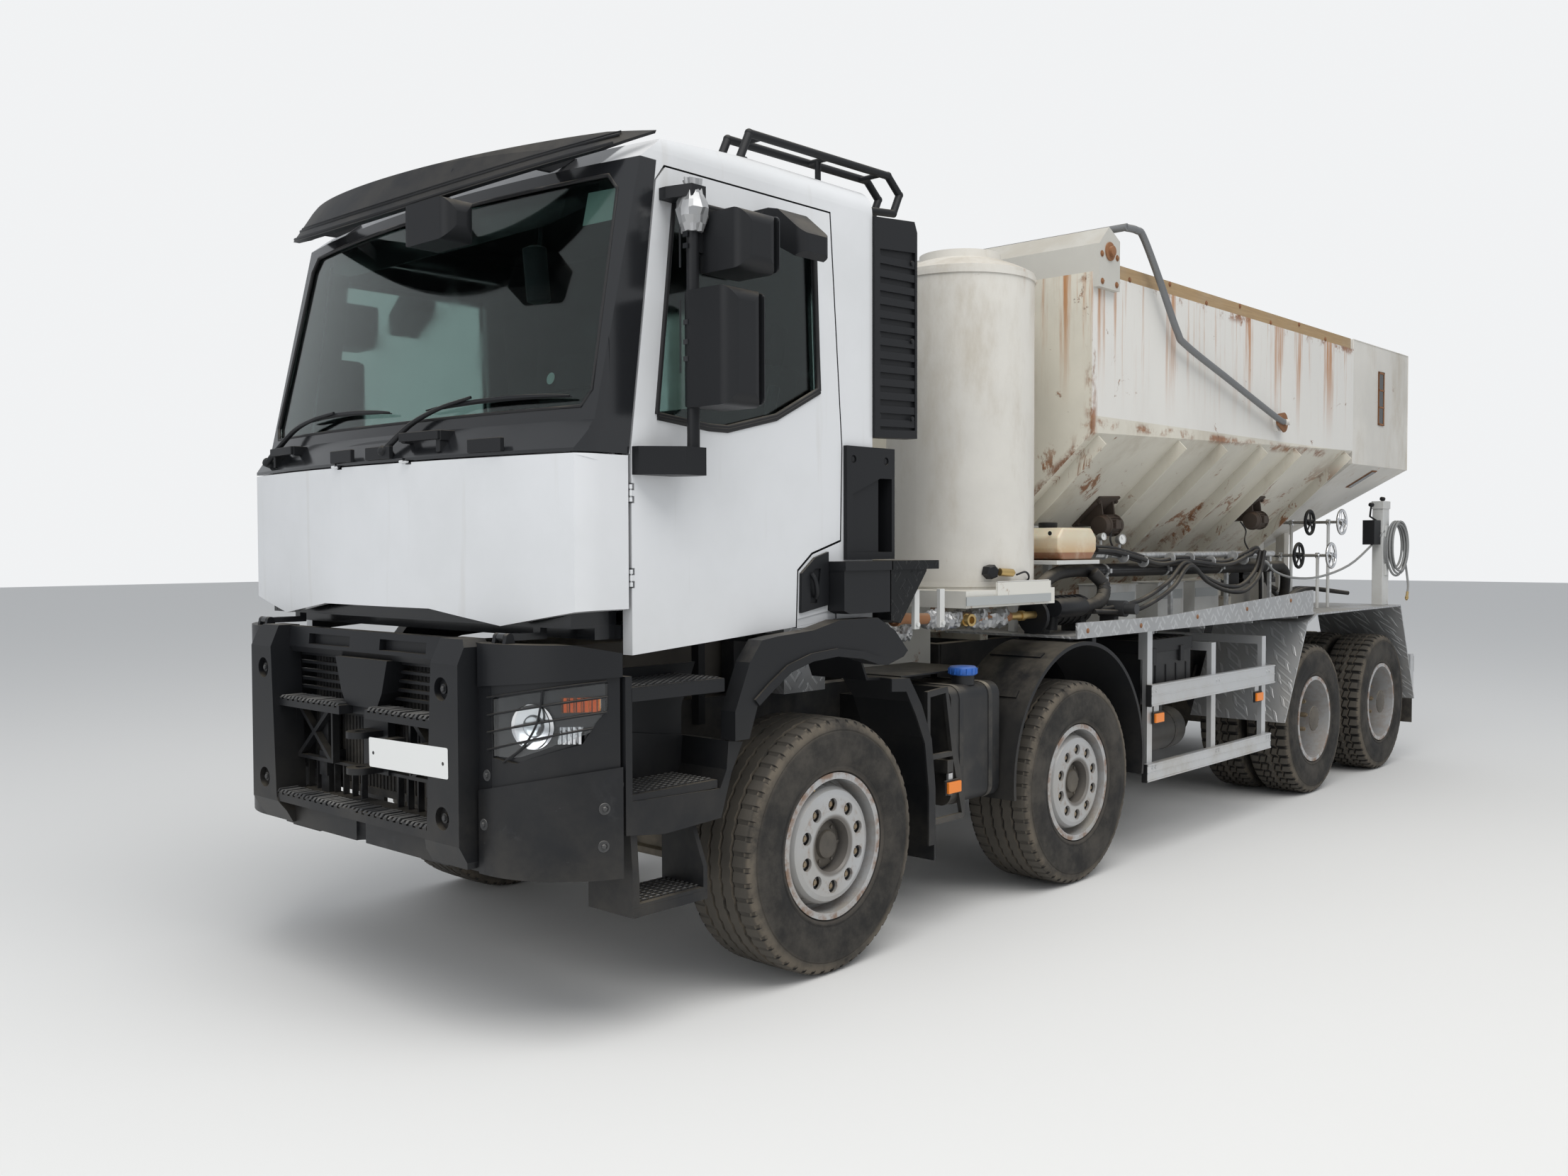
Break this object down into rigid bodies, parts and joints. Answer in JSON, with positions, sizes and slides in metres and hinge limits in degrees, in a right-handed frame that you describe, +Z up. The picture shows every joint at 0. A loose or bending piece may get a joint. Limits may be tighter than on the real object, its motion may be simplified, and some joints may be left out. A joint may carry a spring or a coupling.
{
  "type": "volumetric concrete mixer truck",
  "caption": "Cab-over truck with a sloped aggregate hopper, cement bin, upright water tanks and a swinging discharge boom; wheels, steering, doors, cab and boom move.",
  "frame": {"origin": "on the ground under the middle of the truck's box", "axes": "+X forward, +Y to the truck's left, +Z up"},
  "size_m": [9.2094, 2.93, 3.435],
  "materials": {
    "chassis_paint": "dusty dark grey chassis paint",
    "cab_white": "satin white paint",
    "hopper_cream": "weathered cream paint with rust streaks",
    "white_paint": "chalky white paint",
    "black_plastic": "grained black plastic",
    "tread_plate": "dirty tread plate",
    "galvanised": "galvanised steel",
    "cast": "dirty casting",
    "rim_silver": "silver wheel paint",
    "tyre": "dusty tyre rubber",
    "glass": "tinted glass",
    "lamp": "clear lamp lens",
    "tank_cream": "faded cream plastic coat",
    "board_wood": "weathered timber",
    "seat_cloth": "dark cab trim"
  },
  "bodies": {
    "chassis": {"frame": "chassis_paint", "deck": "tread_plate", "axles": "cast", "springs": "chassis_paint", "engine": "cast", "bumper": "black_plastic", "lamps": "lamp", "side_steps": "black_plastic", "wheel_arches": "black_plastic", "chassis_tanks": "galvanised", "guards": "white_paint", "hopper": "hopper_cream", "side_boards": "board_wood", "cement_bin": "hopper_cream", "water_tanks": "tank_cream", "pump_tray": "galvanised", "tarp_housing": "hopper_cream", "pipework": "galvanised", "vibrators": "cast", "controls": "white_paint", "outlet": "galvanised"},
    "cab": {"cab_shell": "cab_white", "cab_glass": "glass", "cab_trim": "black_plastic", "roof_fittings": "black_plastic", "cab_interior": "seat_cloth"},
    "left_door": {"door_left": "cab_white", "glass_left": "glass", "mirrors_left": "black_plastic"},
    "right_door": {"door_right": "cab_white", "glass_right": "glass", "mirrors_right": "black_plastic"},
    "flap": {"front_flap": "cab_white"},
    "tarp": {"tarp_arms": "black_plastic"},
    "hatch": {"bin_hatch": "galvanised"},
    "swing": {"turntable": "cast"},
    "discharge_boom": {"boom": "hopper_cream"},
    "knuckle_1_left": {"knuckle_1_left": "cast"},
    "knuckle_1_right": {"knuckle_1_right": "cast"},
    "knuckle_2_left": {"knuckle_2_left": "cast"},
    "knuckle_2_right": {"knuckle_2_right": "cast"},
    "wheel_1_left_body": {"wheel_1_left": "rim_silver", "tyre_1_left": "tyre"},
    "wheel_1_right_body": {"wheel_1_right": "rim_silver", "tyre_1_right": "tyre"},
    "wheel_2_left_body": {"wheel_2_left": "rim_silver", "tyre_2_left": "tyre"},
    "wheel_2_right_body": {"wheel_2_right": "rim_silver", "tyre_2_right": "tyre"},
    "wheel_3_left_body": {"wheel_3_left": "rim_silver", "tyre_3_left": "tyre"},
    "wheel_3_right_body": {"wheel_3_right": "rim_silver", "tyre_3_right": "tyre"},
    "wheel_4_left_body": {"wheel_4_left": "rim_silver", "tyre_4_left": "tyre"},
    "wheel_4_right_body": {"wheel_4_right": "rim_silver", "tyre_4_right": "tyre"}
  },
  "joints": [
    {"name": "cab_tilt", "type": "hinge", "parent": "chassis", "child": "cab", "pos_m": [4.48485, 0, 1.425], "axis": [0, 1, 0], "range_deg": [0, 50]},
    {"name": "left_door_open", "type": "hinge", "parent": "cab", "child": "left_door", "pos_m": [4.14635, 1.15, 2.2], "axis": [0, 0, -1], "range_deg": [0, 75]},
    {"name": "right_door_open", "type": "hinge", "parent": "cab", "child": "right_door", "pos_m": [4.14635, -1.15, 2.2], "axis": [0, 0, 1], "range_deg": [0, 75]},
    {"name": "flap_open", "type": "hinge", "parent": "cab", "child": "flap", "pos_m": [4.49085, 0, 2.065], "axis": [0, -1, 0], "range_deg": [0, 80]},
    {"name": "tarp_swing", "type": "hinge", "parent": "chassis", "child": "tarp", "pos_m": [-1.29615, 0, 2.53], "axis": [0, -1, 0], "range_deg": [0, 125]},
    {"name": "hatch_open", "type": "hinge", "parent": "chassis", "child": "hatch", "pos_m": [-2.97015, 0, 3.28], "axis": [0, 1, 0], "range_deg": [0, 100]},
    {"name": "boom_swing", "type": "hinge", "parent": "chassis", "child": "swing", "pos_m": [-4.34015, 0, 1], "axis": [0, 0, 1], "range_deg": [-90, 90]},
    {"name": "boom_lift", "type": "hinge", "parent": "swing", "child": "discharge_boom", "pos_m": [-4.34015, 0, 1.2], "axis": [0, -1, 0], "range_deg": [0, 80]},
    {"name": "steer_1_left", "type": "hinge", "parent": "chassis", "child": "knuckle_1_left", "pos_m": [3.13985, 0.905, 0.522], "axis": [0, 0, 1], "range_deg": [-36, 36]},
    {"name": "steer_1_right", "type": "hinge", "parent": "chassis", "child": "knuckle_1_right", "pos_m": [3.13985, -0.905, 0.522], "axis": [0, 0, 1], "range_deg": [-36, 36]},
    {"name": "steer_2_left", "type": "hinge", "parent": "chassis", "child": "knuckle_2_left", "pos_m": [1.18585, 0.905, 0.522], "axis": [0, 0, 1], "range_deg": [-24, 24]},
    {"name": "steer_2_right", "type": "hinge", "parent": "chassis", "child": "knuckle_2_right", "pos_m": [1.18585, -0.905, 0.522], "axis": [0, 0, 1], "range_deg": [-24, 24]},
    {"name": "wheel_1_left_spin", "type": "hinge", "parent": "knuckle_1_left", "child": "wheel_1_left_body", "pos_m": [3.13985, 1, 0.522], "axis": [0, 1, 0], "continuous": true},
    {"name": "wheel_1_right_spin", "type": "hinge", "parent": "knuckle_1_right", "child": "wheel_1_right_body", "pos_m": [3.13985, -1, 0.522], "axis": [0, 1, 0], "continuous": true},
    {"name": "wheel_2_left_spin", "type": "hinge", "parent": "knuckle_2_left", "child": "wheel_2_left_body", "pos_m": [1.18585, 1, 0.522], "axis": [0, 1, 0], "continuous": true},
    {"name": "wheel_2_right_spin", "type": "hinge", "parent": "knuckle_2_right", "child": "wheel_2_right_body", "pos_m": [1.18585, -1, 0.522], "axis": [0, 1, 0], "continuous": true},
    {"name": "wheel_3_left_spin", "type": "hinge", "parent": "chassis", "child": "wheel_3_left_body", "pos_m": [-2.13515, 1, 0.522], "axis": [0, 1, 0], "continuous": true},
    {"name": "wheel_3_right_spin", "type": "hinge", "parent": "chassis", "child": "wheel_3_right_body", "pos_m": [-2.13515, -1, 0.522], "axis": [0, 1, 0], "continuous": true},
    {"name": "wheel_4_left_spin", "type": "hinge", "parent": "chassis", "child": "wheel_4_left_body", "pos_m": [-3.50115, 1, 0.522], "axis": [0, 1, 0], "continuous": true},
    {"name": "wheel_4_right_spin", "type": "hinge", "parent": "chassis", "child": "wheel_4_right_body", "pos_m": [-3.50115, -1, 0.522], "axis": [0, 1, 0], "continuous": true}
  ],
  "couplings": [
    {"joint": "steer_1_right", "follows": "steer_1_left", "ratio": 1},
    {"joint": "steer_2_left", "follows": "steer_1_left", "ratio": 0.66667},
    {"joint": "steer_2_right", "follows": "steer_1_left", "ratio": 0.66667}
  ]
}
